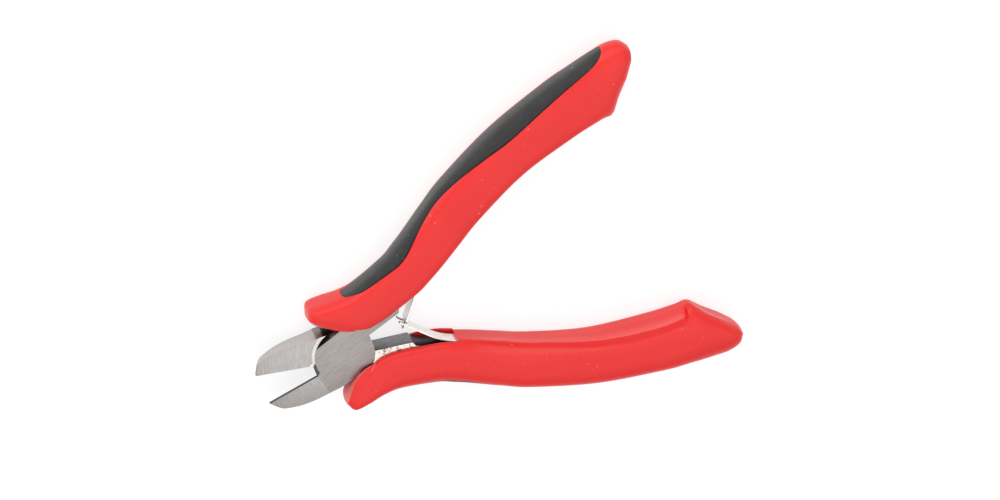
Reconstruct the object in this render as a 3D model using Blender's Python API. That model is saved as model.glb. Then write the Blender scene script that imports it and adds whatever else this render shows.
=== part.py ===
import math

import bmesh
import bpy
from mathutils import Matrix, Vector

for old in list(bpy.data.objects):
    bpy.data.objects.remove(old, do_unlink=True)

# Lengths in metres, angles in degrees.
# Each half is drawn with the jaws closed and its handle on the +Y side, pivot axis on Z.
# The back half is drawn the same way and mirrored in Y; the lower grip is the upper one turned over.

# Joint
HALF_OPENING = 11.05
HEAD_THICKNESS = 0.0064
LAP_RADIUS = 0.00766
SHOULDER_GAP = 0.0003
LAP_FACE_GAP = 0.0002
RIVET_RADIUS = 0.0024
RIVET_CLEARANCE = 0.00005
LAP_FLAT_ANGLE = 128.9
LAP_TANG_ANGLE = 6.5
LAP_JAW_ANGLE = -53.6

# Jaws
CUT_LINE_Y = -0.00045
JAW_TIP_X = -0.02285
EDGE_ROOT_X = -0.0088
THROAT_FRONT_Y = 0.0001
THROAT_BACK_Y = -0.00045
JAW_OUTER = [(0.0014, -0.0064), (-0.0015, -0.0068), (-0.005, -0.00676), (-0.0088, -0.00625),
             (-0.013, -0.00595), (-0.0169, -0.0052), (-0.0205, -0.00375), (-0.0218, -0.0023)]
FRONT_GRIND_X = -0.0088
FRONT_TIP_Z = 0.00365
BACK_GRIND_X = -0.006
BACK_TIP_Z = 0.0024
EDGE_LAND = 0.001
RELIEF_ANGLE = 32.0

# Tangs
TANG_OUTER = [(0.00208, 0.00641), (0.01, 0.007), (0.017, 0.0079), (0.024, 0.0096),
              (0.03, 0.0118), (0.037, 0.0143), (0.046, 0.0175), (0.058, 0.0206), (0.07, 0.0222)]
TANG_REAR = [(0.07, 0.0182), (0.058, 0.0162), (0.046, 0.0127), (0.037, 0.0091)]
TANG_SEAT = [(0.0292, 0.0055), (0.0249, 0.0042)]
TANG_STEP = [(0.0203, 0.0032), (0.0181, 0.00245), (0.0176, 0.0016), (0.0173, 0.0013)]

# Leaf springs
LEAF_THICKNESS = 0.0004
LEAF_WIDTH = 0.0044
LEAF_SEAT_GAP = 0.0003
LEAF_CROSSING = (0.017, 0.0001)
LEAF_BEND_REACH = 0.0037
LEAF_BEND_SEGMENTS = 8
LEAF_SLIT_GAP = 0.0002
TONGUE_WIDTH = 0.0016
TONGUE_SIDE_GAP = 0.0003
TONGUE_SHOULDER = 0.0009
TONGUE_PAST = 0.0015
FORK_ROOT = 0.0009
FORK_PAST = 0.0017

# Grips: inner x, inner y, outer x, outer y and half thickness of each section
GRIP_FRONT = [
    (0.0066, 0.00405, -0.002, 0.0139, 0.0046),
    (0.0086, 0.00295, -0.0005, 0.0155, 0.0052),
    (0.011, 0.0024, 0.0032, 0.0149, 0.0055),
    (0.014, 0.00225, 0.0076, 0.01365, 0.0056),
    (0.0175, 0.0024, 0.0122, 0.0133, 0.0056),
    (0.0244, 0.00295, 0.0215, 0.0146, 0.0056),
    (0.0288, 0.00395, 0.026, 0.016, 0.0056),
    (0.0335, 0.0053, 0.031, 0.01775, 0.0056),
    (0.04, 0.0075, 0.037, 0.02, 0.0056),
    (0.048, 0.0101, 0.045, 0.0229, 0.0056)]
# The rest of the sections, measured from the lip at the rear end
GRIP_LIP_X = 0.0897
GRIP_LIP_Y = 0.012
GRIP_REAR = [
    (-0.0267, 0.0013, -0.0277, 0.0148, 0.0056),
    (-0.0117, 0.0018, -0.0107, 0.01635, 0.0056),
    (-0.0052, 0.00145, -0.0027, 0.0165, 0.0056),
    (0.0, 0.0, 0.0048, 0.0166, 0.0054),
    (0.004, 0.0036, 0.0087, 0.0163, 0.0051),
    (0.0079, 0.0067, 0.0117, 0.015, 0.0046),
    (0.0109, 0.0091, 0.0129, 0.0128, 0.0034)]
# Superellipse powers and flat width by section number; the inner side is squarer beside the inlay's wide edge
OUTER_POWER = [(0, 4.0), (5, 2.5), (12, 2.5), (16, 2.0)]
SQUARE_POWER = [(0, 5.0), (4, 4.8), (11.6, 4.8), (12.5, 3.6), (13, 2.4), (16, 2.0)]
INNER_POWER = [(0, 5.0), (4, 4.6), (5.6, 3.9), (6.5, 3.3), (8, 2.6), (11, 2.4), (13, 2.1), (16, 2.0)]
FLAT_HALF_WIDTH = [(0, 0.0033), (11, 0.0033), (12, 0.003), (13, 0.0007), (16, 0.0004)]
FLAT_SHOULDER = 0.00015
# How far the guard's end stands ahead of the first section, by share of the chord from its inner end
NOSE_BACK = [(0.0, 0.0), (0.2, 0.00145), (0.44, 0.0022), (0.6, 0.00185), (0.8, 0.00113), (1.0, 0.0002)]
NOSE_MIDDLE = [(0.0, 0.0), (0.2, 0.00145), (0.44, 0.00225), (0.6, 0.0026), (0.8, 0.0023), (1.0, 0.00045)]
NOSE_FRONT = [(0.0, 0.0), (0.12, 0.0005), (0.3, 0.0008), (0.46, 0.00085), (0.73, 0.00048), (1.0, 0.0)]
NOSE_SCALES = [0.08, 0.4, 0.7, 0.95]
NOSE_EDGE_ROUND = 0.0003
TAIL_BULGE = 0.00055
TAIL_SCALES = [0.8, 0.35]
SOCKET_GAP = 0.0003
POCKET_END_X = 0.029
HEAD_SWEEP_RADIUS = 0.008

# Soft inlays: section number, then half angle about the crown on the wide and the narrow side
INLAY_EDGE = [(3.15, 5.0, 5.0), (3.3, 18.0, 9.0), (3.7, 29.0, 17.0), (4.25, 43.0, 26.0), (5.4, 56.5, 27.0),
              (6.3, 56.5, 39.0), (7.5, 40.0, 43.0), (8.3, 31.5, 34.0), (9.1, 37.0, 25.0), (9.75, 56.0, 23.0),
              (10.2, 64.0, 22.0), (11.0, 55.0, 22.0), (12.4, 43.5, 21.0), (13.0, 34.0, 17.0),
              (13.35, 20.0, 11.0), (13.45, 5.0, 5.0)]
INLAY_DEPTH = 0.0016
INLAY_GAP = 0.0003

OUTER_STEPS = 16
INNER_STEPS = 5
SECTION_STEPS = 2
INLAY_COLUMNS = 8
INLAY_STEPS = 2
CUT_OVERRUN = 0.002

MID_Z = HEAD_THICKNESS / 2
GRIP_SECTIONS = GRIP_FRONT + [
    (GRIP_LIP_X + inner_x, GRIP_LIP_Y + inner_y, GRIP_LIP_X + outer_x, GRIP_LIP_Y + outer_y, thick)
    for inner_x, inner_y, outer_x, outer_y, thick in GRIP_REAR]

parts = bpy.data.collections.new("diagonal_cutter")
cutters = bpy.data.collections.new("cutters")
bpy.context.scene.collection.children.link(parts)
bpy.context.scene.collection.children.link(cutters)


def material(name, color, metallic, roughness):
    made = bpy.data.materials.new(name)
    made.use_nodes = True
    shader = made.node_tree.nodes["Principled BSDF"]
    shader.inputs["Base Color"].default_value = (*color, 1.0)
    shader.inputs["Metallic"].default_value = metallic
    shader.inputs["Roughness"].default_value = roughness
    return made


def handle(name, angle):
    empty = bpy.data.objects.new(name, None)
    empty.empty_display_size = 0.01
    empty.rotation_euler = (0, 0, math.radians(angle))
    parts.objects.link(empty)
    return empty


def add(name, mesh, parent, matrix=Matrix()):
    made = bpy.data.objects.new(name, mesh)
    made.parent = parent
    made.matrix_basis = matrix
    parts.objects.link(made)
    return made


def as_cutter(made):
    parts.objects.unlink(made)
    cutters.objects.link(made)
    made.hide_render = True
    made.display_type = "WIRE"
    return made


def cut(target, cutter):
    step = target.modifiers.new(cutter.name, "BOOLEAN")
    step.operation = "DIFFERENCE"
    step.solver = "EXACT"
    step.object = as_cutter(cutter)


def outlined(name, outline, low, high, parent, matrix=Matrix()):
    """Closed outline in XY filled and extruded from low to high, then placed by matrix."""
    curve = bpy.data.curves.new(name, "CURVE")
    curve.dimensions = "2D"
    curve.fill_mode = "BOTH"
    curve.extrude = (high - low) / 2
    spline = curve.splines.new("POLY")
    spline.points.add(len(outline) - 1)
    for point, (x, y) in zip(spline.points, outline):
        point.co = (x, y, 0, 1)
    spline.use_cyclic_u = True
    drawn = bpy.data.objects.new(name + "_outline", curve)
    bpy.context.scene.collection.objects.link(drawn)
    mesh = bpy.data.meshes.new_from_object(drawn)
    bpy.data.objects.remove(drawn, do_unlink=True)
    bpy.data.curves.remove(curve)
    mesh.transform(Matrix.Translation((0, 0, (low + high) / 2)))
    shape = bmesh.new()
    shape.from_mesh(mesh)
    bmesh.ops.remove_doubles(shape, verts=shape.verts, dist=1e-6)
    bmesh.ops.recalc_face_normals(shape, faces=shape.faces)
    shape.to_mesh(mesh)
    shape.free()
    mesh.name = name
    return add(name, mesh, parent, matrix)


def cylinder(name, radius, low, high, segments, parent):
    shape = bmesh.new()
    bmesh.ops.create_cone(shape, cap_ends=True, segments=segments, radius1=radius, radius2=radius,
                          depth=high - low, matrix=Matrix.Translation((0, 0, (low + high) / 2)))
    mesh = bpy.data.meshes.new(name)
    shape.to_mesh(mesh)
    shape.free()
    return add(name, mesh, parent)


def lofted(name, rings, side, parent):
    """Closed body through rings with the same number of points; side -1 turns it over about X."""
    count = len(rings[0])
    points = [(x, y * side, MID_Z + (z - MID_Z) * side) for ring in rings for x, y, z in ring]
    faces = [list(range(count))]
    for k in range(len(rings) - 1):
        for j in range(count):
            step = (j + 1) % count
            faces.append([k * count + j, (k + 1) * count + j, (k + 1) * count + step, k * count + step])
    faces.append([(len(rings) - 1) * count + j for j in reversed(range(count))])
    mesh = bpy.data.meshes.new(name)
    mesh.from_pydata(points, [], faces)
    shape = bmesh.new()
    shape.from_mesh(mesh)
    bmesh.ops.recalc_face_normals(shape, faces=shape.faces)
    shape.to_mesh(mesh)
    shape.free()
    return add(name, mesh, parent)


def spline_at(rows, where):
    """Smooth curve through rows, read at a row number with a fraction."""
    low = min(int(where), len(rows) - 2)
    t = where - low
    a, b, c, d = [rows[min(max(low + k, 0), len(rows) - 1)] for k in (-1, 0, 1, 2)]
    return [0.5 * (2 * q + (r - p) * t + (2 * p - 5 * q + 4 * r - s) * t * t
                   + (3 * q - p - 3 * r + s) * t ** 3) for p, q, r, s in zip(a, b, c, d)]


def smoothed(points, steps):
    return [tuple(spline_at(points, k / steps)) for k in range((len(points) - 1) * steps + 1)]


def read(pairs, where):
    """Straight-line reading of a list of (position, value) pairs."""
    for (a, low), (b, high) in zip(pairs, pairs[1:]):
        if where <= b:
            return low + (high - low) * max(where - a, 0) / (b - a)
    return pairs[-1][1]


def arc(radius, start, end, count):
    angles = [math.radians(start + (end - start) * k / count) for k in range(count + 1)]
    return [(radius * math.cos(a), radius * math.sin(a)) for a in angles]


def offset(points, distance):
    """The same path moved sideways to its left by distance."""
    moved = []
    for k, point in enumerate(points):
        ahead = Vector(points[min(k + 1, len(points) - 1)])
        behind = Vector(points[max(k - 1, 0)])
        along = (ahead - behind).normalized()
        moved.append((point[0] - along.y * distance, point[1] + along.x * distance))
    return moved


def turned(point, angle):
    spin = Matrix.Rotation(math.radians(angle), 2)
    return spin @ Vector(point)


def mirrored(points, side):
    return [(x, y * side) for x, y in points]


def half(name, side, front, parent):
    """One forging: jaw, lap and tang, with the lap on the front or the back."""
    cut_y = CUT_LINE_Y * side
    throat_y = THROAT_FRONT_Y if front else THROAT_BACK_Y
    throat_angle = 180 - math.degrees(throat_y / LAP_RADIUS)
    outline = [(JAW_TIP_X, cut_y), (EDGE_ROOT_X, cut_y)]
    outline += arc(LAP_RADIUS, throat_angle, LAP_FLAT_ANGLE, 8)
    outline += TANG_OUTER + TANG_REAR + TANG_SEAT + TANG_STEP
    outline += arc(LAP_RADIUS, LAP_TANG_ANGLE, LAP_JAW_ANGLE, 10)
    outline += smoothed(JAW_OUTER, 3)
    body = outlined(name, mirrored(outline, side), 0, HEAD_THICKNESS, parent)

    above = HEAD_THICKNESS + CUT_OVERRUN
    lap_low, lap_high = MID_Z - LAP_FACE_GAP / 2, MID_Z + LAP_FACE_GAP / 2
    recess_span = (-CUT_OVERRUN, lap_high) if front else (lap_low, above)
    cut(body, cylinder(name + "_recess", LAP_RADIUS + SHOULDER_GAP, *recess_span, 64, parent))
    cut(body, cylinder(name + "_bore", RIVET_RADIUS + RIVET_CLEARANCE, -CUT_OVERRUN, above, 40, parent))

    upright = Matrix.Rotation(math.radians(90), 4, "X")
    span = LAP_RADIUS + CUT_OVERRUN
    reach = JAW_TIP_X - CUT_OVERRUN
    front_slope = (HEAD_THICKNESS - FRONT_TIP_Z) / (FRONT_GRIND_X - JAW_TIP_X)
    front_end = HEAD_THICKNESS - front_slope * (FRONT_GRIND_X - reach)
    front_grind = [(FRONT_GRIND_X, HEAD_THICKNESS), (reach, front_end),
                   (reach, above), (FRONT_GRIND_X, above)]
    cut(body, outlined(name + "_front_grind", front_grind, -span, span, parent, upright))
    back_slope = BACK_TIP_Z / (BACK_GRIND_X - JAW_TIP_X)
    back_grind = [(BACK_GRIND_X, 0), (reach, back_slope * (BACK_GRIND_X - reach)),
                  (reach, -CUT_OVERRUN), (BACK_GRIND_X, -CUT_OVERRUN)]
    cut(body, outlined(name + "_back_grind", back_grind, -span, span, parent, upright))

    spread = above * math.tan(math.radians(RELIEF_ANGLE))
    wedge = [(0, 0), (-side * spread, -above), (side * CUT_OVERRUN, -above), (side * CUT_OVERRUN, 0)]
    along_jaw = Matrix(((0, 0, 1, 0), (1, 0, 0, 0), (0, 1, 0, 0), (0, 0, 0, 1)))
    tilt = Matrix.Rotation(-math.atan(front_slope), 4, "Y")
    place = Matrix.Translation((EDGE_ROOT_X, CUT_LINE_Y, HEAD_THICKNESS - EDGE_LAND))
    cut(body, outlined(name + "_relief", wedge, reach - EDGE_ROOT_X, 0, parent, place @ tilt @ along_jaw))
    return body


def leaf(name, side, parent):
    """Bent strip along the tang, then straight to the crossing; a tongue above, a fork below."""
    seat = offset(TANG_REAR[-1:] + TANG_SEAT, LEAF_SEAT_GAP + LEAF_THICKNESS / 2)
    crossing = turned(LEAF_CROSSING, -side * HALF_OPENING)
    crossing = Vector((crossing.x, crossing.y * side))
    bend = Vector(seat[-1])
    along = (crossing - bend).normalized()
    past = TONGUE_PAST if side > 0 else FORK_PAST
    inward = (Vector(seat[-2]) - bend).normalized()
    turn = [bend + inward * LEAF_BEND_REACH, bend, bend + along * LEAF_BEND_REACH]
    rounded = [turn[0] * (1 - t) ** 2 + turn[1] * 2 * t * (1 - t) + turn[2] * t * t
               for t in [k / LEAF_BEND_SEGMENTS for k in range(LEAF_BEND_SEGMENTS + 1)]]
    path = seat[:-1] + [tuple(p) for p in rounded] + [tuple(crossing + along * past)]
    outline = offset(path, LEAF_THICKNESS / 2) + offset(path, -LEAF_THICKNESS / 2)[::-1]
    body = outlined(name, mirrored(outline, side), MID_Z - LEAF_WIDTH / 2, MID_Z + LEAF_WIDTH / 2, parent)

    root = FORK_ROOT if side < 0 else TONGUE_SHOULDER
    line = [tuple(crossing - along * root), tuple(crossing + along * (past + CUT_OVERRUN))]
    window = mirrored(offset(line, LEAF_THICKNESS) + offset(line, -LEAF_THICKNESS)[::-1], side)
    if side < 0:
        slot = TONGUE_WIDTH / 2 + TONGUE_SIDE_GAP
        cut(body, outlined(name + "_slot", window, MID_Z - slot, MID_Z + slot, parent))
    else:
        above = MID_Z + TONGUE_WIDTH / 2
        below = MID_Z - TONGUE_WIDTH / 2
        cut(body, outlined(name + "_trim_front", window, above, HEAD_THICKNESS, parent))
        cut(body, outlined(name + "_trim_back", window, 0, below, parent))
    return body


def section(where):
    """Centre, half chord and shape values of the grip's section at a section number."""
    inner_x, inner_y, outer_x, outer_y, thick = spline_at(GRIP_SECTIONS, where)
    centre = Vector(((inner_x + outer_x) / 2, (inner_y + outer_y) / 2, MID_Z))
    chord = Vector(((outer_x - inner_x) / 2, (outer_y - inner_y) / 2, 0))
    return centre, chord, thick


def outer_point(where, angle):
    centre, chord, thick = section(where)
    power = 2 / read(OUTER_POWER, where)
    across = math.cos(math.radians(angle))
    rise = math.sin(math.radians(angle))
    height = math.copysign(abs(rise) ** power, rise) * thick
    return centre + chord * max(across, 0) ** power + Vector((0, 0, height))


def inner_side(where, powers):
    """One half of the inner side as depths and heights, from its edge to the raised flat."""
    thick = section(where)[2]
    power = read(powers, where)
    flat = read(FLAT_HALF_WIDTH, where)
    last = math.asin((flat / thick) ** (power / 2))
    side = []
    for k in range(1, INNER_STEPS + 1):
        angle = math.pi / 2 + (math.pi / 2 - last) * k / INNER_STEPS
        depth = abs(math.cos(angle)) ** (2 / power)
        side.append((depth, abs(math.sin(angle)) ** (2 / power) * thick))
    return side + [(1.0, flat - FLAT_SHOULDER)]


def grip_ring(where):
    """Round outer side, then the inner side, squarer on the wide side of the inlay than on the narrow one."""
    centre, chord, thick = section(where)
    ring = [outer_point(where, -90 + 180 * k / OUTER_STEPS) for k in range(OUTER_STEPS + 1)]
    front = inner_side(where, SQUARE_POWER)
    back = inner_side(where, INNER_POWER)
    ring += [centre - chord * depth + Vector((0, 0, z)) for depth, z in front]
    ring += [centre - chord * depth - Vector((0, 0, z)) for depth, z in reversed(back)]
    return ring


def nose_ring(scale, back_off):
    """First section drawn in by scale and pushed ahead, more at the back of the guard than at its front."""
    centre, chord, thick = section(0)
    ahead = Vector((-chord.y, chord.x, 0)).normalized()
    ring = []
    for point in grip_ring(0):
        point = centre + (point - centre) * scale
        share = (point - centre).dot(chord) / chord.length_squared / 2 + 0.5
        rise = min(abs(point.z - MID_Z) / thick, 1)
        edge = read(NOSE_FRONT if point.z > MID_Z else NOSE_BACK, share)
        middle = read(NOSE_MIDDLE, share)
        ring.append(point + ahead * (middle + (edge - middle) * rise - back_off))
    return ring


def tail_ring(scale):
    """Last section drawn in by scale and pushed out to a dome."""
    centre, chord, thick = section(len(GRIP_SECTIONS) - 1)
    behind = Vector((chord.y, -chord.x, 0)).normalized()
    bulge = behind * TAIL_BULGE * (1 - scale ** 2)
    return [centre + (point - centre) * scale + bulge for point in grip_ring(len(GRIP_SECTIONS) - 1)]


def crown_patch(name, lift, depth, margin, side, parent):
    """Strip of the grip's outer skin between the inlay edges, with its own thickness."""
    numbers = [row[0] for row in INLAY_EDGE]
    rings = []
    for k in range((len(numbers) - 1) * INLAY_STEPS + 1):
        where, wide, narrow = spline_at(INLAY_EDGE, k / INLAY_STEPS)
        centre, chord, thick = section(where)
        extra = math.degrees(margin / thick)
        wide += extra
        narrow += extra
        if k == 0:
            where -= margin / (outer_point(numbers[0], 0) - outer_point(numbers[0] - 1, 0)).length
        if k == (len(numbers) - 1) * INLAY_STEPS:
            where += margin / (outer_point(numbers[-1] + 1, 0) - outer_point(numbers[-1], 0)).length
        angles = [-narrow + (wide + narrow) * j / INLAY_COLUMNS for j in range(INLAY_COLUMNS + 1)]
        skin = [outer_point(where, angle) for angle in angles]
        middle = section(where)[0]
        outward = [(point - middle).normalized() for point in skin]
        top = [point + way * lift for point, way in zip(skin, outward)]
        bottom = [point - way * depth for point, way in zip(skin, outward)]
        rings.append(top + bottom[::-1])
    return lofted(name, rings, side, parent)


def run_on(wall):
    """A straight slit wall run on past the leaf's end and into the pocket."""
    (start_x, start_y), (stop_x, stop_y) = wall
    slope = (stop_y - start_y) / (stop_x - start_x)
    return [(x, start_y + slope * (x - start_x)) for x in (start_x + SOCKET_GAP, POCKET_END_X - SOCKET_GAP)]


def grip(name, side, parent):
    """Moulded sleeve: lofted body with the tang socket, leaf pocket and inlay bed cut out."""
    last = (len(GRIP_SECTIONS) - 1) * SECTION_STEPS
    rings = [nose_ring(scale, 0) for scale in NOSE_SCALES] + [nose_ring(1, NOSE_EDGE_ROUND)]
    rings += [grip_ring(k / SECTION_STEPS) for k in range(1, last + 1)]
    rings += [tail_ring(scale) for scale in TAIL_SCALES]
    body = lofted(name, rings, side, parent)

    socket_half = HEAD_THICKNESS / 2 + SOCKET_GAP
    outer_wall = offset(TANG_OUTER, SOCKET_GAP)[1:]
    rear_wall = offset(TANG_REAR + TANG_SEAT[:1], SOCKET_GAP)
    sweep_end = math.degrees(math.asin(TANG_OUTER[1][1] / HEAD_SWEEP_RADIUS))
    end = TANG_OUTER[-1][0] + SOCKET_GAP
    socket = arc(HEAD_SWEEP_RADIUS, 170, sweep_end, 14) + outer_wall[:-1]
    socket += [(end, outer_wall[-1][1]), (end, rear_wall[0][1])] + rear_wall[1:-1]
    socket += [(POCKET_END_X, rear_wall[-1][1]), (POCKET_END_X, -HEAD_SWEEP_RADIUS)]
    socket += [(-HEAD_SWEEP_RADIUS, -HEAD_SWEEP_RADIUS)]
    cut(body, outlined(name + "_socket", mirrored(socket, side),
                       MID_Z - socket_half, MID_Z + socket_half, parent))

    seat = TANG_REAR[-1:] + TANG_SEAT[:1]
    slit = run_on(offset(seat, -SOCKET_GAP))
    slit += run_on(offset(seat, LEAF_SEAT_GAP + LEAF_THICKNESS + LEAF_SLIT_GAP))[::-1]
    slit_half = LEAF_WIDTH / 2 + SOCKET_GAP
    cut(body, outlined(name + "_slit", mirrored(slit, side), MID_Z - slit_half, MID_Z + slit_half, parent))
    cut(body, crown_patch(name + "_bed", CUT_OVERRUN / 2, INLAY_DEPTH + INLAY_GAP, INLAY_GAP, side, parent))
    return body


upper = handle("upper_handle", HALF_OPENING)
lower = handle("lower_handle", -HALF_OPENING)

front_half = half("front_half", 1, True, upper)
back_half = half("back_half", -1, False, lower)
pivot_rivet = cylinder("pivot_rivet", RIVET_RADIUS, 0, HEAD_THICKNESS, 40, lower)
leaf_spring_upper = leaf("leaf_spring_upper", 1, upper)
leaf_spring_lower = leaf("leaf_spring_lower", -1, lower)
grip_body_upper = grip("grip_body_upper", 1, upper)
grip_body_lower = grip("grip_body_lower", -1, lower)
soft_inlay_upper = crown_patch("soft_inlay_upper", 0, INLAY_DEPTH, 0, 1, upper)
soft_inlay_lower = crown_patch("soft_inlay_lower", 0, INLAY_DEPTH, 0, -1, lower)

front_half.data.materials.append(material("front_half", (0.5, 0.49, 0.47), 1.0, 0.34))
back_half.data.materials.append(material("back_half", (0.47, 0.46, 0.45), 1.0, 0.36))
pivot_rivet.data.materials.append(material("pivot_rivet", (0.52, 0.51, 0.5), 1.0, 0.32))
leaf_spring_upper.data.materials.append(material("leaf_spring_upper", (0.75, 0.73, 0.7), 1.0, 0.25))
leaf_spring_lower.data.materials.append(material("leaf_spring_lower", (0.76, 0.74, 0.71), 1.0, 0.26))
grip_body_upper.data.materials.append(material("grip_body_upper", (0.8, 0.045, 0.042), 0.0, 0.42))
grip_body_lower.data.materials.append(material("grip_body_lower", (0.79, 0.044, 0.042), 0.0, 0.43))
soft_inlay_upper.data.materials.append(material("soft_inlay_upper", (0.085, 0.08, 0.08), 0.0, 0.7))
soft_inlay_lower.data.materials.append(material("soft_inlay_lower", (0.08, 0.077, 0.077), 0.0, 0.72))
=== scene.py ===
import math

import bmesh
import bpy
from mathutils import Matrix, Vector


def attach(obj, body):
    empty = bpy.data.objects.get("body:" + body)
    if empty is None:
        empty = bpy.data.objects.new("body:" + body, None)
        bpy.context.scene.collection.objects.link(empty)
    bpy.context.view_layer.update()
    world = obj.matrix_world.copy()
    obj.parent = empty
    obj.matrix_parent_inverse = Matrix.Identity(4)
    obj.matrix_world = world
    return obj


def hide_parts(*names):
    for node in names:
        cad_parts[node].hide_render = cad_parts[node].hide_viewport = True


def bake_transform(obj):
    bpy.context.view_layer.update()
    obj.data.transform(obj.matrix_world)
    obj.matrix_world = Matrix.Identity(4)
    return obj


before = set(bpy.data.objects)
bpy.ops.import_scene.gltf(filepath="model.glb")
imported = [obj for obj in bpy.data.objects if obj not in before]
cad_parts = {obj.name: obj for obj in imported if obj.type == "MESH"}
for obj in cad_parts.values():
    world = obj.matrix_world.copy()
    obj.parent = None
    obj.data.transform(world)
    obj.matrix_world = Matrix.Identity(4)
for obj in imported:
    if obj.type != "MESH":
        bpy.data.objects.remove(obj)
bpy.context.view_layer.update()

mm = 0.001
midZ = 3.2  # middle of the head's thickness, mm
opening = 11.05  # each handle's turn from closed to rest, degrees


def clearPick():
    if bpy.context.object and bpy.context.object.mode != "OBJECT":
        bpy.ops.object.mode_set(mode="OBJECT")
    bpy.ops.object.select_all(action="DESELECT")


def makeActive(piece):
    clearPick()
    piece.select_set(True)
    bpy.context.view_layer.objects.active = piece


def placeRing(piece, points):
    shape = bmesh.from_edit_mesh(piece.data)
    slot = shape.verts.layers.int["slot"]
    for vert in shape.verts:
        if vert.select:
            vert.co = Vector(points[vert[slot]]) * mm
    bmesh.update_edit_mesh(piece.data)


def loftRings(name, rings):  # a filled circle pulled into the first ring, then extruded ring by ring
    clearPick()
    bpy.ops.mesh.primitive_circle_add(vertices=len(rings[0]), radius=0.005, fill_type="NGON")
    piece = bpy.context.object
    piece.name = name
    bpy.ops.object.mode_set(mode="EDIT")
    shape = bmesh.from_edit_mesh(piece.data)
    slot = shape.verts.layers.int.new("slot")
    for index, vert in enumerate(shape.verts):
        vert[slot] = index
    bmesh.update_edit_mesh(piece.data)
    placeRing(piece, rings[0])
    for ring in rings[1:]:
        bpy.ops.mesh.extrude_region()
        placeRing(piece, ring)
    bpy.ops.mesh.select_all(action="SELECT")
    bpy.ops.mesh.normals_make_consistent(inside=False)
    bpy.ops.object.mode_set(mode="OBJECT")
    return piece


def outlinePlate(name, outline, low, high):
    return loftRings(name, [[(x, y, low) for x, y in outline], [(x, y, high) for x, y in outline]])


def roundBar(name, radius, low, high, x=0.0, y=0.0, sides=96):
    clearPick()
    bpy.ops.mesh.primitive_cylinder_add(vertices=sides, radius=radius * mm, depth=(high - low) * mm,
                                        location=(x * mm, y * mm, (low + high) / 2 * mm))
    bar = bpy.context.object
    bar.name = name
    bpy.ops.object.transform_apply(location=True, rotation=True, scale=True)
    return bar


def carve(piece, tool):
    makeActive(piece)
    step = piece.modifiers.new("carve", "BOOLEAN")
    step.operation = "DIFFERENCE"
    step.solver = "EXACT"
    step.object = tool
    bpy.ops.object.modifier_apply(modifier="carve")
    bpy.data.objects.remove(tool, do_unlink=True)


def sliceOff(piece, point, normal):
    makeActive(piece)
    bpy.ops.object.mode_set(mode="EDIT")
    bpy.ops.mesh.select_all(action="SELECT")
    bpy.ops.mesh.bisect(plane_co=Vector(point) * mm, plane_no=Vector(normal).normalized(),
                        use_fill=True, clear_outer=True)
    bpy.ops.object.mode_set(mode="OBJECT")


def breakEdges(piece, width, steps, rule, angle=28):  # bevels the sharp edges that the rule keeps
    makeActive(piece)
    bpy.ops.object.mode_set(mode="EDIT")
    bpy.ops.mesh.select_mode(type="EDGE")
    bpy.ops.mesh.select_all(action="DESELECT")
    shape = bmesh.from_edit_mesh(piece.data)
    for edge in shape.edges:
        if len(edge.link_faces) == 2 and edge.calc_face_angle(0) > math.radians(angle):
            middle = (edge.verts[0].co + edge.verts[1].co) / 2 / mm
            edge.select = rule(middle)
    bmesh.update_edit_mesh(piece.data)
    bpy.ops.mesh.bevel(offset=width * mm, segments=steps, affect="EDGES", clamp_overlap=True)
    bpy.ops.mesh.select_all(action="SELECT")
    bpy.ops.mesh.normals_make_consistent(inside=False)
    bpy.ops.mesh.select_mode(type="VERT")
    bpy.ops.object.mode_set(mode="OBJECT")


def tidyMesh(piece, angle):
    makeActive(piece)
    bpy.ops.object.mode_set(mode="EDIT")
    bpy.ops.mesh.select_all(action="SELECT")
    bpy.ops.mesh.remove_doubles(threshold=1e-6)
    bpy.ops.mesh.normals_make_consistent(inside=False)
    bpy.ops.object.mode_set(mode="OBJECT")
    bpy.ops.object.shade_smooth_by_angle(angle=math.radians(angle))


def swingOpen(piece, degrees):
    makeActive(piece)
    piece.rotation_euler = (0, 0, math.radians(degrees))
    bpy.ops.object.transform_apply(location=True, rotation=True, scale=True)


def turnOver(piece):
    makeActive(piece)
    piece.location = (0, 0, 2 * midZ * mm)
    piece.rotation_euler = (math.pi, 0, 0)
    bpy.ops.object.transform_apply(location=True, rotation=True, scale=True)


def twin(piece, name):
    clearPick()
    copy = piece.copy()
    copy.data = piece.data.copy()
    copy.name = name
    bpy.context.scene.collection.objects.link(copy)
    return copy


def markFaces(piece, name, rule):  # face values that the finish reads
    values = piece.data.attributes.new(name, "FLOAT", "FACE")
    for face in piece.data.polygons:
        values.data[face.index].value = float(rule(face.center / mm, face.normal))


def curveAt(rows, where):  # smooth curve through rows, at a row number with a fraction
    low = min(max(int(where), 0), len(rows) - 2)
    t = where - low
    a, b, c, d = [rows[min(max(low + k, 0), len(rows) - 1)] for k in (-1, 0, 1, 2)]
    return [0.5 * (2 * q + (r - p) * t + (2 * p - 5 * q + 4 * r - s) * t * t
                   + (3 * q - p - 3 * r + s) * t ** 3) for p, q, r, s in zip(a, b, c, d)]


def smoothPath(points, steps):
    return [tuple(curveAt(points, k / steps)) for k in range((len(points) - 1) * steps + 1)]


def readRow(pairs, where):
    for (a, low), (b, high) in zip(pairs, pairs[1:]):
        if where <= b:
            return low + (high - low) * max(where - a, 0) / (b - a)
    return pairs[-1][1]


def easeStep(low, high, where):
    t = min(max((where - low) / (high - low), 0), 1)
    return t * t * (3 - 2 * t)


def dipAt(where, place, spread, deep):  # bell-shaped dip
    return deep * math.exp(-((where - place) / spread) ** 2)


def arcPoints(radius, start, end, count):
    angles = [math.radians(start + (end - start) * k / count) for k in range(count + 1)]
    return [(radius * math.cos(a), radius * math.sin(a)) for a in angles]


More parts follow.
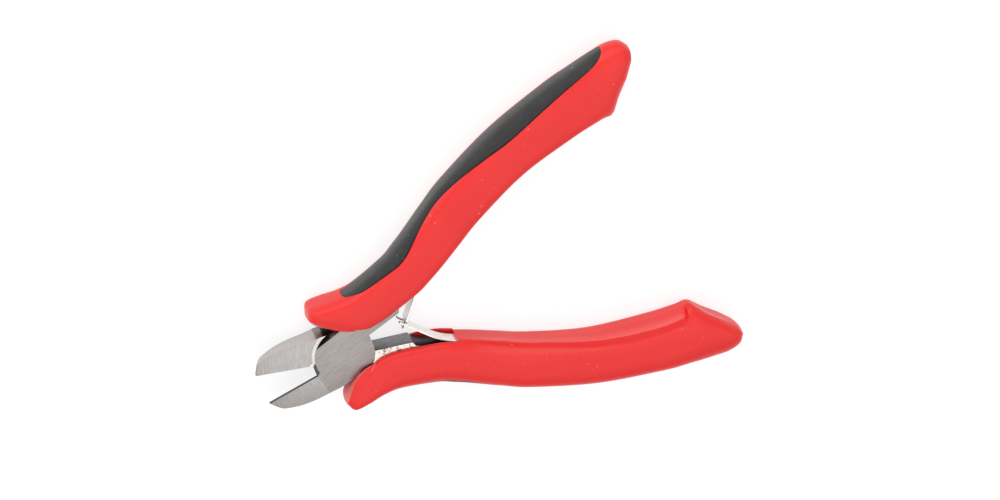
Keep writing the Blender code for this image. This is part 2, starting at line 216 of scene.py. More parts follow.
def sidePath(points, distance):  # the same path moved to its left
    moved = []
    for k, point in enumerate(points):
        along = (Vector(points[min(k + 1, len(points) - 1)]) - Vector(points[max(k - 1, 0)])).normalized()
        moved.append((point[0] - along.y * distance, point[1] + along.x * distance))
    return moved


# camera at the photograph's angle, 1000 x 500 frame
view = {"right": (0.9063, -0.3552, 0.2291), "up": (0.4197, 0.8199, -0.3894),
        "back": (-0.0496, 0.449, 0.8921), "place": (0.00284, 0.40396, 0.79162),
        "lens": 126, "sensor": 36, "near": 0.01}
cameraData = bpy.data.cameras.new("studioCamera")
cameraData.lens = view["lens"]
cameraData.sensor_width = view["sensor"]
cameraData.clip_start = view["near"]
camera = bpy.data.objects.new("studioCamera", cameraData)
bpy.context.scene.collection.objects.link(camera)
camera.matrix_world = Matrix((*zip(view["right"], view["up"], view["back"], view["place"]), (0, 0, 0, 1)))
bpy.context.scene.camera = camera
bpy.context.scene.view_settings.view_transform = "Standard"
print("camera placed")

# steel halves: jaw, lap and tang of one forging
steelHalves = {
    "thick": 6.4, "lapRadius": 7.66, "shoulderGap": 0.06, "lapFaceGap": 0.2, "bore": 2.41,
    "lapFlat": 128.9, "lapTang": 6.5, "lapJaw": -53.6, "cutLine": -0.45, "tip": -22.85, "edgeRoot": -8.8,
    "throatFront": 0.1, "throatBack": -0.45,
    "jawOuter": [(1.4, -6.4), (-1.5, -6.8), (-5, -6.76), (-8.8, -6.25), (-13, -5.95), (-16.9, -5.2),
                 (-20.5, -3.75), (-21.8, -2.3)],
    "frontGrind": -8.8, "frontTip": 3.65, "backGrind": -6.0, "backTip": 2.4,
    "land": 1.0, "relief": 32, "reliefFall": 9,
    "tangOuter": [(2.08, 6.41), (10, 7), (17, 7.9), (24, 9.6), (30, 11.8), (37, 14.3), (46, 17.5),
                  (58, 20.6), (70, 22.2)],
    "tangRear": [(70, 18.2), (58, 16.2), (46, 12.7), (37, 9.1)], "tangSeat": [(29.2, 5.5), (24.9, 4.2)],
    "tangStep": [(20.3, 3.2), (18.1, 2.45), (17.6, 1.6), (17.3, 1.3)],
    "edgeBreak": 0.12, "notch": (-8.6, -0.42, 0.6), "cutterPast": 2}


def steelHalf(name, side, front):
    size = steelHalves
    past = size["cutterPast"]
    throat = size["throatFront"] if front else size["throatBack"]
    throatAngle = 180 - math.degrees(throat / size["lapRadius"])
    outline = [(size["tip"], size["cutLine"] * side), (size["edgeRoot"], size["cutLine"] * side)]
    outline += arcPoints(size["lapRadius"], throatAngle, size["lapFlat"], 22)
    outline += smoothPath(size["tangOuter"], 4) + size["tangRear"] + size["tangSeat"] + size["tangStep"]
    outline += arcPoints(size["lapRadius"], size["lapTang"], size["lapJaw"], 28)
    outline += smoothPath(size["jawOuter"], 6)
    half = outlinePlate(name, [(x, y * side) for x, y in outline], 0, size["thick"])
    lapLow, lapHigh = midZ - size["lapFaceGap"] / 2, midZ + size["lapFaceGap"] / 2
    span = (-past, lapHigh) if front else (lapLow, size["thick"] + past)
    carve(half, roundBar("recessTool", size["lapRadius"] + size["shoulderGap"], *span, sides=128))
    carve(half, roundBar("boreTool", size["bore"], -past, size["thick"] + past))
    frontRun = size["frontGrind"] - size["tip"]
    frontDrop = size["thick"] - size["frontTip"]
    sliceOff(half, (size["frontGrind"], 0, size["thick"]), (-frontDrop, 0, frontRun))
    backRun = size["backGrind"] - size["tip"]
    sliceOff(half, (size["backGrind"], 0, 0), (-size["backTip"], 0, -backRun))
    fall = size["reliefFall"]
    spread = fall * math.tan(math.radians(size["relief"]))
    lean = frontDrop / frontRun
    cut, beyond = size["cutLine"], size["cutLine"] + side * past
    rings = []
    for x in (size["edgeRoot"], size["tip"] - past):  # relief below the cutting land, sloping with the grind
        top = size["thick"] - size["land"] - lean * (size["edgeRoot"] - x)
        rings.append([(x, cut, top), (x, cut - side * spread, top - fall), (x, beyond, top - fall),
                      (x, beyond, top)])
    carve(half, loftRings("reliefTool", rings))
    if not front:
        x, y, radius = size["notch"]
        carve(half, roundBar("notchTool", radius, -past, size["thick"] + past, x, y, sides=40))

    def blunt(p):  # all edges but the cutting edge and the bore
        keen = abs(p.y - size["cutLine"]) < 0.02 and p.x < size["edgeRoot"] + 0.3
        bored = math.hypot(p.x, p.y) < size["bore"] + 0.05
        return not keen and not bored

    breakEdges(half, size["edgeBreak"], 2, blunt)
    tidyMesh(half, 24)
    return half


frontHalf = steelHalf("frontHalfSteel", 1, True)
backHalf = steelHalf("backHalfSteel", -1, False)
print("steel halves carved", len(frontHalf.data.polygons), len(backHalf.data.polygons))

# pivot rivet, ground flush on the front, dimpled on the back
rivetSize = {"radius": 2.4, "low": 0.0, "high": 6.4, "rim": 0.08,
             "dimpleRim": 0.7, "dimpleSlope": 0.4, "dimpleDeep": 0.15}
rivet = roundBar("pivotRivetSteel", rivetSize["radius"], rivetSize["low"], rivetSize["high"])
makeActive(rivet)
bpy.ops.object.mode_set(mode="EDIT")
bpy.ops.mesh.select_mode(type="FACE")
bpy.ops.mesh.select_all(action="DESELECT")
shape = bmesh.from_edit_mesh(rivet.data)
for face in shape.faces:
    face.select = face.normal.z < -0.9
bmesh.update_edit_mesh(rivet.data)
bpy.ops.mesh.inset(thickness=rivetSize["dimpleRim"] * mm)
bpy.ops.mesh.inset(thickness=rivetSize["dimpleSlope"] * mm, depth=-rivetSize["dimpleDeep"] * mm)
bpy.ops.mesh.select_mode(type="VERT")
bpy.ops.object.mode_set(mode="OBJECT")
breakEdges(rivet, rivetSize["rim"], 2, lambda p: p.z < 0.1)
tidyMesh(rivet, 30)
print("rivet turned")

# leaf springs, bent up from the tang to their crossing: tongue on the upper one, fork on the lower one
leafSize = {"thick": 0.4, "wide": 4.4, "corner": 0.1, "seatGap": 0.3, "crossing": (17.0, 0.1),
            "bendReach": 3.7, "tongue": 1.6, "tongueGap": 0.3, "tonguePast": 1.5, "shoulder": 0.9,
            "fillet": 0.4, "forkRoot": 0.9, "forkRound": 0.6, "forkPast": 1.7, "cutterPast": 4}


def leafPath(side):
    seat = steelHalves["tangRear"][-1:] + steelHalves["tangSeat"]
    seat = sidePath(seat, leafSize["seatGap"] + leafSize["thick"] / 2)
    crossing = Matrix.Rotation(math.radians(-side * opening), 2) @ Vector(leafSize["crossing"])
    crossing = Vector((crossing.x, crossing.y * side))
    bend = Vector(seat[-1])
    along = (crossing - bend).normalized()
    inward = (Vector(seat[-2]) - bend).normalized()
    near, far = bend + inward * leafSize["bendReach"], bend + along * leafSize["bendReach"]
    path = [Vector(seat[0]), Vector(seat[1])]
    path += [near * (1 - t) ** 2 + bend * 2 * t * (1 - t) + far * t * t for t in [k / 14 for k in range(15)]]
    past = leafSize["tonguePast"] if side > 0 else leafSize["forkPast"]
    path += [far.lerp(crossing, 0.5), crossing + along * past]
    return path, crossing, along


def leafSpring(name, side):
    path, crossing, along = leafPath(side)
    corner, half, wide = leafSize["corner"], leafSize["thick"] / 2, leafSize["wide"] / 2
    rim = [(half, -wide + corner), (half, wide - corner), (half - corner, wide), (corner - half, wide),
           (-half, wide - corner), (-half, corner - wide), (corner - half, -wide), (half - corner, -wide)]
    rings = []
    for k, point in enumerate(path):
        way = (path[min(k + 1, len(path) - 1)] - path[max(k - 1, 0)]).normalized()
        left = Vector((-way.y, way.x))
        rings.append([(point.x + left.x * a, (point.y + left.y * a) * side, midZ + b) for a, b in rim])
    leaf = loftRings(name, rings)
    left = Vector((-along.y, along.x))

    def window(profile):  # cutter across the strip, profile in distance past the crossing and height
        made = []
        for reach in (-1.0, 1.0):
            at = [crossing + along * a + left * reach for a, b in profile]
            made.append([(p.x, p.y * side, midZ + b) for p, (a, b) in zip(at, profile)])
        return loftRings("windowTool", made)

    past = leafSize["cutterPast"]
    if side < 0:
        slot = leafSize["tongue"] / 2 + leafSize["tongueGap"]
        bow = slot * leafSize["forkRound"]
        root = [(-leafSize["forkRoot"] + bow * (1 - math.sin(a)), slot * math.cos(a))
                for a in [math.pi * k / 10 for k in range(11)]]
        carve(leaf, window([(past, slot)] + root + [(past, -slot)]))
    else:
        tongue, shoulder, fillet = leafSize["tongue"] / 2, leafSize["shoulder"], leafSize["fillet"]
        profile = [(past, past), (-shoulder, past)]
        profile += [(-shoulder + fillet * (1 - math.cos(a)), tongue + fillet * (1 - math.sin(a)))
                    for a in [math.pi / 2 * k / 5 for k in range(6)]]
        profile += [(past, tongue)]
        for sign in (1, -1):
            carve(leaf, window([(a, b * sign) for a, b in profile]))
    tidyMesh(leaf, 35)
    cross, ahead = Vector((crossing.x, crossing.y * side)), Vector((along.x, along.y * side, 0))

    def shearedAndShaded(p, n):  # cut edges round the crossing, painted near black: dark cut edges, partly painted shade where the strips cross
        cutEdge = abs(n.dot(ahead)) > 0.5 or abs(n.z) > 0.5 and abs(p.z - midZ) < 1.9
        return cutEdge and (p.xy - cross).length < 2.6

    markFaces(leaf, "shearedAndShaded", shearedAndShaded)
    return leaf


leafUpper = leafSpring("leafSpringUpperStrip", 1)
leafLower = leafSpring("leafSpringLowerStrip", -1)
print("leaf springs bent")

# grip: inner x, inner y, outer x, outer y and half thickness of each section, front to rear
# a pair of tables is for the plain side and the grooved side, by section number
gripShape = {
    "sections": [
        (6.6, 4.05, -2, 13.9, 4.6), (8.6, 2.95, -0.5, 15.5, 5.2), (11, 2.4, 3.2, 14.9, 5.5),
        (14, 2.25, 7.6, 13.65, 5.6), (17.5, 2.4, 12.2, 13.3, 5.6), (24.4, 2.95, 21.5, 14.6, 5.6),
        (28.8, 3.95, 26, 16, 5.6), (33.5, 5.3, 31, 17.75, 5.6), (40, 7.5, 37, 20, 5.6),
        (48, 10.1, 45, 22.9, 5.6), (63, 13.3, 62, 26.8, 5.6), (78, 13.8, 79, 28.35, 5.6),
        (84.5, 13.45, 87, 28.5, 5.6), (89.7, 12, 94.5, 28.6, 5.4), (93.7, 15.6, 98.4, 28.3, 5.1),
        (97.6, 18.7, 101.4, 27, 4.6), (100.6, 21.1, 102.6, 24.8, 3.4)],
    "outerPower": [[(0, 4), (5, 2.5), (12, 2.5), (16, 2)],
                   [(0, 5.5), (1, 6.5), (2.5, 4), (5, 2.5), (6.5, 2.6), (8, 3.3), (11.5, 3.3), (13, 2.6),
                    (16, 2)]],
    "innerPower": [[(0, 5), (4, 4.8), (11.6, 4.8), (12.5, 3.6), (13, 2.4), (16, 2)],
                   [(0, 5), (4, 4.6), (5.6, 3.9), (6.5, 3.3), (8, 2.7), (10.5, 2.9), (12, 2.9), (13, 2.1),
                    (16, 2)]],
    "padReach": [(8.2, 0), (9.3, 0.25), (9.9, 0.7), (10.6, 1.15), (12.4, 1.25)],
    "padCrown": [(8.2, 0), (9.3, 0.15), (9.9, 0.5), (10.6, 1.1), (11.2, 1.25), (12.4, 1.25)],
    "crownPower": 2.6, "island": [(0, 3.3), (11, 3.3), (12.2, 3.0)], "islandEnd": 12.74, "islandRound": 0.4,
    "ledge": 0.4, "ledgeStart": (8.5, 11), "ledgeEnd": (12.6, 12.9), "valley": (12.78, 0.14, 0.22),
    "facet": [[(12.7, 0.45), (13, 0.6), (13.4, 1.5), (14, 2.5), (15, 3.2), (16, 2.4)],
              [(12.7, 0.45), (13, 0.7), (13.4, 1.8), (14, 2.7), (14.6, 2.7), (15.2, 1.9), (16, 0.7)]],
    "scoop": [(12.9, 0), (14, 0.35), (15, 0.3), (16, 0.0)],
    "pocketEnd": 6.03, "slot": 3.5, "headSweep": 8.0, "sweepAngles": (170, 52.7),
    "pocketLip": [(0.04, 0.06), (0.16, 0)], "pocketWall": 0.5, "socketGap": 0.3, "socketTopGap": 0.25,
    "socketFront": (27.5, 10.2), "socketEnd": 70.3, "socketHalf": 3.42,
    "noseRings": [(0, -0.16), (0.08, -0.05), (0.25, 0), (0.7, 0), (1.3, 0), (2.2, 0), (3.2, 0), (4.2, 0)],
    # share of the chord, then how far the guard's end bulges there
    "noseBack": [(-0.1, 0), (0, 0), (0.2, 1.45), (0.44, 2.2), (0.6, 1.85), (0.8, 1.13), (0.9, 0.75),
                 (1, 0.2)],
    "noseMiddle": [(-0.1, 0), (0, 0), (0.2, 1.45), (0.44, 2.25), (0.6, 2.6), (0.8, 2.3), (0.9, 1.6),
                   (1, 0.45)],
    "noseFront": [(-0.1, 0), (0, 0), (0.12, 0.5), (0.3, 0.8), (0.46, 0.85), (0.73, 0.48), (0.93, 0), (1, 0)],
    "wallLift": [(0, 0.2), (0.6, 0.4), (1.2, 0.35), (2, 0.12), (3, 0), (6.03, 0)],
    "farWall": [(3.2, 0), (4.4, 0.65), (6.03, 0.35)],
    "lipDips": [(12.56, 0.3, 0.6), (13.4, 0.22, 0.3)], "tailBulge": 0.55,
    "bedDepth": 1.9, "seamGap": 0.1, "seamRound": 0.08,
    # section number, then the inlay's wide and narrow edge in degrees
    "inlay": [(3.13, 1, 1), (3.15, 6, 4), (3.3, 18, 9), (3.7, 29, 17), (4.25, 43, 31), (5.4, 56.5, 42),
              (6.3, 56.5, 43), (7.5, 40, 35), (8.3, 31.5, 29), (9.1, 37, 25), (9.75, 56, 23), (10.2, 64, 22),
              (11, 55, 22), (12.4, 43.5, 21), (13, 34, 17), (13.35, 20, 11), (13.45, 6, 5), (13.47, 1, 1)]}
inlayRows = [curveAt(gripShape["inlay"], k / 16) for k in range((len(gripShape["inlay"]) - 1) * 16 + 1)]
inlayFirst, inlayLast = inlayRows[0][0], inlayRows[-1][0]
pocketFloor = arcPoints(gripShape["headSweep"], *gripShape["sweepAngles"], 20)
pocketFloor += sidePath(steelHalves["tangOuter"], gripShape["socketGap"])[1:]


def inlayEdges(where):
    wide = readRow([(row[0], row[1]) for row in inlayRows], where)
    narrow = readRow([(row[0], row[2]) for row in inlayRows], where)
    return wide, narrow


def gripSection(where):
    innerX, innerY, outerX, outerY, thick = curveAt(gripShape["sections"], where)
    centre = Vector(((innerX + outerX) / 2, (innerY + outerY) / 2, midZ))
    return centre, Vector(((outerX - innerX) / 2, (outerY - innerY) / 2, 0)), thick


def outerSkin(where, angle, lift=0.0):
    centre, chord, thick = gripSection(where)
    power = 2 / readRow(gripShape["outerPower"][angle < 0], where)
    across, rise = max(math.cos(math.radians(angle)), 0), math.sin(math.radians(angle))
    point = centre + chord * across ** power
    point += Vector((0, 0, math.copysign(abs(rise) ** power, rise) * thick))
    return point + (point - centre).normalized() * lift


def outerColumns(where):  # back edge to front edge, with the bed that holds the inlay
    wide, narrow = inlayEdges(where)
    thick = gripSection(where)[2]
    gap = math.degrees(gripShape["seamGap"] / thick)
    lip = math.degrees(gripShape["seamRound"] / thick)
    bedded = inlayFirst <= where <= inlayLast
    depth = gripShape["bedDepth"] if bedded else 0
    rounding = gripShape["seamRound"] if bedded else 0
    low, high = narrow + gap, wide + gap
    columns = [(-90 + (90 - low - lip) * k / 12, 0) for k in range(13)] + [(-low, -rounding)]
    columns += [(-low + (low + high) * k / 10, -depth) for k in range(11)]
    columns += [(high, -rounding)] + [(high + lip + (90 - high - lip) * k / 12, 0) for k in range(13)]
    return columns


def floorDepth(centre, chord):  # where the section's chord meets the tang side of the pocket
    best = -0.6
    for a, b in zip(pocketFloor, pocketFloor[1:]):
        a, b = Vector(a), Vector(b)
        way = b - a
        run = chord.xy
        cross = run.x * way.y - run.y * way.x
        if abs(cross) < 1e-9:
            continue
        gap = a - centre.xy
        along = (gap.x * way.y - gap.y * way.x) / cross
        share = (gap.x * run.y - gap.y * run.x) / cross
        if -0.01 <= share <= 1.01 and -1 < along < 1:
            best = -along
    return best


def bandEdge(where, grooved):  # half width of the raised band on one side, rounded off at its end
    full = readRow(gripShape["island"], where) + grooved * readRow(gripShape["padReach"], where)
    past = (where - gripShape["islandEnd"] + gripShape["islandRound"]) / gripShape["islandRound"]
    flat = full * max(1 - min(max(past, 0), 1) ** 3, 0) ** (1 / 3)
    return full, max(flat, 0.4)


def innerColumns(where, grooved):  # (depth, height) from edge to middle: pocket, raised band or scooped end
    shape = gripShape
    centre, chord, thick = gripSection(where)
    reach = chord.length
    power = readRow(shape["innerPower"][grooved], where)
    valley = grooved * dipAt(where, *shape["valley"])
    ledge = grooved * shape["ledge"] * easeStep(*shape["ledgeStart"], where)
    ledge *= 1 - easeStep(*shape["ledgeEnd"], where)

    def skin(z):
        return max(1 - min(z / thick, 1) ** power, 0) ** (1 / power)

    def groove(z):  # beside the band, fading to the middle and to the edge
        foot = ledge * easeStep(0.3, 2.4, z) * (1 - easeStep(flat + 0.2, min(flat + 1.5, thick), z))
        return (foot + valley * easeStep(0, 1.2, z) * (1 - easeStep(2.4, 4.2, z))) / reach

    def sideRun(edge, scale=1.0):
        last = math.asin(min(edge / thick, 1) ** (power / 2))
        angles = [math.pi / 2 - (math.pi / 2 - last) * k / 8 for k in range(1, 9)]
        return [(math.cos(a) ** (2 / power) * scale, math.sin(a) ** (2 / power) * thick) for a in angles]

    if where < shape["pocketEnd"]:
        slot = shape["slot"]
        floor = floorDepth(centre, chord)
        top = skin(slot + 0.1)
        columns = sideRun(slot + 0.4) + [(skin(slot + 0.2), slot + 0.2)]
        columns += [(top - deep / reach, slot + rise) for deep, rise in shape["pocketLip"]]
        start = top - shape["pocketWall"] / reach
        columns += [(start + (floor - start) * k / 2, slot) for k in range(3)]
        columns += [(floor, slot * share) for share in (0.75, 0.45, 0.15)]
        return columns
    full, flat = bandEdge(where, grooved)
    crown = grooved * readRow(shape["padCrown"], where) / reach
    steps = [1 - k / 5.5 for k in range(6)]
    island = [(depth - groove(z), z) for depth, z in sideRun(flat + 0.45)]
    base = skin(flat + 0.1) - groove(flat)
    rim = 1 - crown * (flat / full) ** shape["crownPower"]
    island += [(skin(flat + 0.2) - groove(flat), flat + 0.22), (base + (rim - base) * 0.3, flat + 0.04),
               (rim - min(0.1 / reach, (rim - base) * 0.4), flat - 0.1)]
    levels = [(flat - 0.3) * step for step in steps]
    island += [(1 - crown * (z / full) ** shape["crownPower"], z) for z in levels]
    fadeFrom = shape["islandEnd"] - 0.02 - 0.3 * grooved
    if where <= fadeFrom:
        return island
    facet = readRow(shape["facet"][grooved], where)
    scoop = readRow(shape["scoop"], where)
    scale = 1 / skin(facet)
    ended = sideRun(facet + 0.4, scale)
    ended += [(skin(facet + rise) * scale, facet + rise) for rise in (0.2, 0.06)] + [(1.0, facet - 0.04)]
    levels = [(facet - 0.2) * step for step in steps]
    ended += [(1 - scoop * (1 - (z / facet) ** 2) / reach, z) for z in levels]
    share = easeStep(fadeFrom, 13.0, where)
    return [(a * (1 - share) + c * share, b * (1 - share) + d * share)
            for (a, b), (c, d) in zip(island, ended)]


def gripRing(where, inset=0.0, nose=None, far=0.0):
    centre, chord, thick = gripSection(where)
    forward = Vector((-chord.y, chord.x, 0)).normalized()
    if forward.x > 0:
        forward = -forward
    ring = []
    for angle, lift in outerColumns(where):
        point = outerSkin(where, angle, lift)
        ring.append(point + (centre - point).normalized() * inset)
    dip = sum(dipAt(where, *row) for row in gripShape["lipDips"])
    sides = []
    for grooved in (0, 1):
        sides.append([])
        for depth, z in innerColumns(where, grooved):
            share = min(max((z - gripShape["slot"]) / (thick - gripShape["slot"]), 0), 1)
            depth -= inset * 0.5 * min(share * 4, 1) / chord.length
            depth *= 1 - dip / chord.length
            sides[grooved].append((depth, z - min(inset * 0.8, 0.9) * share))
    lift = readRow(gripShape["wallLift"], where) + far * readRow(gripShape["farWall"], where)
    lift *= (where < gripShape["pocketEnd"]) / chord.length
    ring += [centre - chord * depth * (1 + lift * (depth > 0.5)) + Vector((0, 0, z))
             for depth, z in sides[0]]
    ring += [centre - chord * depth - Vector((0, 0, z)) for depth, z in reversed(sides[1])]
    if nose is not None:  # the guard's end bulges forward, more on the back than on the front
        for point in ring:
            share = (point - centre).dot(chord) / chord.length_squared / 2 + 0.5
            edge = gripShape["noseFront"] if point.z > midZ else gripShape["noseBack"]
            rise = min(abs(point.z - midZ) / thick, 1)
            middle = readRow(gripShape["noseMiddle"], share)
            bulge = middle + (readRow(edge, share) - middle) * rise
            point += forward * (bulge + nose * easeStep(0, 0.15, share))
    return ring


def gripBody(name, far):
    shape = gripShape
    stations = [k / 10 for k in range(161)]  # closer at the inlay's ends, the pocket's end and the lip
    stations += [inlayFirst - 0.002, inlayFirst + 0.002, inlayLast - 0.002, inlayLast + 0.002]
    stations += [inlayFirst + 0.02 * k for k in range(1, 14)] + [inlayLast - 0.02 * k for k in range(1, 14)]
    stations += [shape["pocketEnd"] - 0.001, shape["pocketEnd"] + 0.001, shape["pocketEnd"] + 0.03]
    stations += [12.2 + 0.03 * k for k in range(1, 28)]
    stations = sorted(set(round(s, 4) for s in stations))
    stations = [s for k, s in enumerate(stations) if k == 0 or s - stations[k - 1] > 0.0015]
    rings = []
    for inset, nose in reversed(shape["noseRings"]):
        rings.append(gripRing(0, inset, nose))
    rings += [gripRing(s, far=far) for s in stations[1:]]
    last = rings[-1]
    middle = sum(last, Vector()) / len(last)
    chord = gripSection(16)[1]
    rearward = Vector((chord.y, -chord.x, 0)).normalized()
    if rearward.x < 0:
        rearward = -rearward
    for share in (0.92, 0.8, 0.6, 0.35, 0.1):  # domed tail
        bulge = rearward * shape["tailBulge"] * (1 - share ** 2)
        rings.append([middle + (p - middle) * share + bulge for p in last])
    body = loftRings(name, rings)
    rear = sidePath(steelHalves["tangRear"] + steelHalves["tangSeat"][:1], shape["socketGap"])
    top = sidePath(steelHalves["tangOuter"], shape["socketTopGap"])
    mouth, end, half = shape["socketFront"], shape["socketEnd"], shape["socketHalf"]
    socket = [mouth] + [p for p in top if p[0] > mouth[0]] + [(end, top[-1][1]), (end, rear[0][1])]
    socket += rear[1:] + [(mouth[0], rear[-1][1] - 0.4)]
    carve(body, outlinePlate("socketTool", socket, midZ - half, midZ + half))
    tidyMesh(body, 32)
    return body


# soft inlay in the bed of the grip, rounded off to its edges and ends
inlaySize = {"depth": 1.6, "roundWide": 2.6, "narrowShare": 0.3, "endShare": 0.3, "endRise": (4.6, 7.0),
             "roundDeep": [(3.1, 0.2), (4.5, 0.6), (6.5, 1.1), (8.5, 0.9), (11, 0.6), (13.5, 0.3)]}


def inlayStrip(name):
    size = inlaySize
    rings = []
    stations = [inlayFirst + 0.012, inlayFirst + 0.03] + [inlayFirst + 0.03 + 0.03 * k for k in range(1, 12)]
    stations += [3.5 + k / 10 for k in range(97)] + [inlayLast - 0.03 - 0.03 * k for k in range(11, 0, -1)]
    stations += [inlayLast - 0.03, inlayLast - 0.012]
    for where in sorted(stations):
        wide, narrow = inlayEdges(where)
        thick = gripSection(where)[2]
        deep = readRow(size["roundDeep"], where)
        ends = min((where - inlayFirst) * size["endRise"][0], (inlayLast - where) * size["endRise"][1])
        top, bottom = [], []
        for k in range(19):
            share = (1 - math.cos(math.pi * k / 18)) / 2
            angle = -narrow + (wide + narrow) * share
            fromWide, fromNarrow = math.radians(wide - angle) * thick, math.radians(angle + narrow) * thick
            drop = 0
            for edge, part in ((fromWide, 1), (fromNarrow, size["narrowShare"]), (ends, size["endShare"])):
                near = min(max(edge / size["roundWide"] / part, 0), 1)
                drop = max(drop, deep * part * (1 - math.sqrt(1 - (1 - near) ** 2)))
            top.append(outerSkin(where, angle, -drop))
        for k in range(7):
            angle = -narrow + (wide + narrow) * k / 6
            bottom.append(outerSkin(where, angle, -size["depth"]))
        rings.append(top + bottom[::-1])
    strip = loftRings(name, rings)
    tidyMesh(strip, 45)
    return strip


gripUpper = gripBody("gripUpperShell", 0)
gripLower = gripBody("gripLowerShell", 1)
# painted light on the grip's faces: where the guard's end points for its painted reflection, and where the
# band's painted highlight and shade start and end along x
gripTones = {"guardAhead": Vector((-0.753, -0.658, 0)), "guardRoot": Vector((2.3, 8.98, 0)),
             "bandStart": (29, 38), "bandEnd": (86.4, 88.6)}
bandRows = []
for k in range(135):
    where = 6.06 + k * 0.05
    centre, chord = gripSection(where)[:2]
    bandRows.append(((centre - chord).x, bandEdge(where, 1)[1]))


def guardEndPaintedReflection(p, n):  # end face of the guard painted paler, a painted reflection
    ahead = gripTones["guardAhead"]
    onNose = (p - gripTones["guardRoot"]).dot(ahead) > -0.3
    return easeStep(0.62, 0.85, n.dot(ahead)) * onNose


def bandPlace(p):  # how near the face is, the band's edge there, and the fade at both ends
    fade = easeStep(*gripTones["bandStart"], p.x) * (1 - easeStep(*gripTones["bandEnd"], p.x))
    return midZ - p.z, readRow(bandRows, p.x), fade


def paintedBandHighlight(p, n):  # painted highlight: the raised band painted brighter to its near edge, and the shoulder below its groove
    near, edge, fade = bandPlace(p)
    if n.y > -0.2 or near < 0.5:
        return 0.0
    if near < edge - 0.08:
        return fade * easeStep(0.5, edge, near)
    return fade * 0.4 * easeStep(0.2, 0.5, -n.y) * easeStep(edge + 0.6, edge + 1.0, near)


def paintedGrooveShade(p, n):  # painted shade in the groove under the raised band
    near, edge, fade = bandPlace(p)
    return fade * (n.y < -0.1 and edge - 0.08 < near) * (1 - easeStep(edge + 0.35, edge + 0.8, near))


def paintedDownShade(p, n):  # painted shade: the side that turns down to the bench is painted a deeper red
    return easeStep(-0.22, 0.4, n.y) * easeStep(1.5, 3.5, midZ - p.z)


for grip in (gripUpper, gripLower):
    markFaces(grip, "guardEndPaintedReflection", guardEndPaintedReflection)
    markFaces(grip, "paintedDownShade", paintedDownShade)
    markFaces(grip, "paintedBandHighlight", paintedBandHighlight)
    markFaces(grip, "paintedGrooveShade", paintedGrooveShade)
print("grip lofted", len(gripUpper.data.polygons))
inlayUpper = inlayStrip("inlayUpperStrip")
print("inlay lofted", len(inlayUpper.data.polygons))

# face values for the steel finishes, while the halves are still drawn closed
for half, side in ((frontHalf, 1), (backHalf, -1)):
    root, lap = steelHalves["edgeRoot"], steelHalves["lapRadius"]
    markFaces(half, "jawGrind", lambda p, n: p.x < root and abs(n.z) > 0.6)
    # painted shade: the relief flank under the front jaw's edge is painted near black, as a dark reflection
    markFaces(half, "paintedFlankShade", lambda p, n: -22 < p.x < -6.5 and abs(p.y) < 1.2 and abs(n.z) < 0.75)
    markFaces(half, "oxide", lambda p, n: abs(n.z) < 0.6 and p.x > 5)
    markFaces(half, "raw", lambda p, n: n.z > 0.6 and p.x > lap - 0.4 and p.xy.length > lap + 0.1)
    markFaces(half, "strip", lambda p, n: side < 0 and n.z > 0.6 and root < p.x < 0 and p.y > -1
              and p.xy.length > lap - 1.2)
    # painted shade: the tang's side faces behind the step are painted near black
    markFaces(half, "paintedHollowShade", lambda p, n: abs(n.z) < 0.6 and p.x > 18 and p.y * side < 5.4)
    # painted reflection: the jaws' outer side walls are painted paler
    markFaces(half, "rim", lambda p, n: abs(n.z) < 0.6 and p.x < -6 and abs(p.y) > 1.4)
    # painted shade: the lap recess floor and its walls are painted near black
    markFaces(half, "paintedRecessShade", lambda p, n: p.xy.length < lap + 0.4 and (
        abs(p.z - midZ) < 0.2 or abs(n.z) < 0.5 and p.xy.length > lap + 0.2))
print("steel faces marked")


def newFinish(name, roughness, metallic=0.0, specular=0.5, sheen=0.0, sheenRoughness=0.5):
    finish = bpy.data.materials.new(name)
    finish.use_nodes = True
    shader = finish.node_tree.nodes["Principled BSDF"]
    shader.inputs["Roughness"].default_value = roughness
    shader.inputs["Metallic"].default_value = metallic
    shader.inputs["Specular IOR Level"].default_value = specular
    shader.inputs["Sheen Weight"].default_value = sheen
    shader.inputs["Sheen Roughness"].default_value = sheenRoughness
    return finish.node_tree, shader, finish


def addNode(tree, kind, settings=None, **links):
    node = tree.nodes.new(kind)
    for key, value in (settings or {}).items():
        setattr(node, key, value)
    for key, value in links.items():
        numbered = key[0] == "i" and key[1:].isdigit()
        socket = node.inputs[int(key[1:]) if numbered else key]
        if isinstance(value, bpy.types.NodeSocket):
            tree.links.new(value, socket)
        else:
            socket.default_value = value
    return node


def grain(tree, turn, scale, detail, rough):  # noise on Object coordinates, turned and stretched
    place = addNode(tree, "ShaderNodeTexCoord").outputs["Object"]
    mapped = addNode(tree, "ShaderNodeMapping", {"vector_type": "TEXTURE"}, Vector=place,
                     Rotation=(0, 0, math.radians(turn)), Scale=[1 / v for v in scale])
    return addNode(tree, "ShaderNodeTexNoise", Vector=mapped.outputs[0], Scale=1.0, Detail=detail,
                   Roughness=rough).outputs["Fac"]


def ramp(tree, value, *stops):
    node = addNode(tree, "ShaderNodeValToRGB", Fac=value)
    points = node.color_ramp.elements
    while len(points) < len(stops):
        points.new(0.5)
    for point, (where, color) in zip(points, stops):
        point.position = where
        point.color = (*color, 1) if isinstance(color, tuple) else (color, color, color, 1)
    return node.outputs["Color"]


def blendColor(tree, share, first, second):
    node = addNode(tree, "ShaderNodeMix", {"data_type": "RGBA"})
    for socket, value in ((node.inputs[0], share), (node.inputs[6], first), (node.inputs[7], second)):
        if isinstance(value, bpy.types.NodeSocket):
            tree.links.new(value, socket)
        else:
            socket.default_value = (*value, 1) if isinstance(value, tuple) else value
    return node.outputs[2]


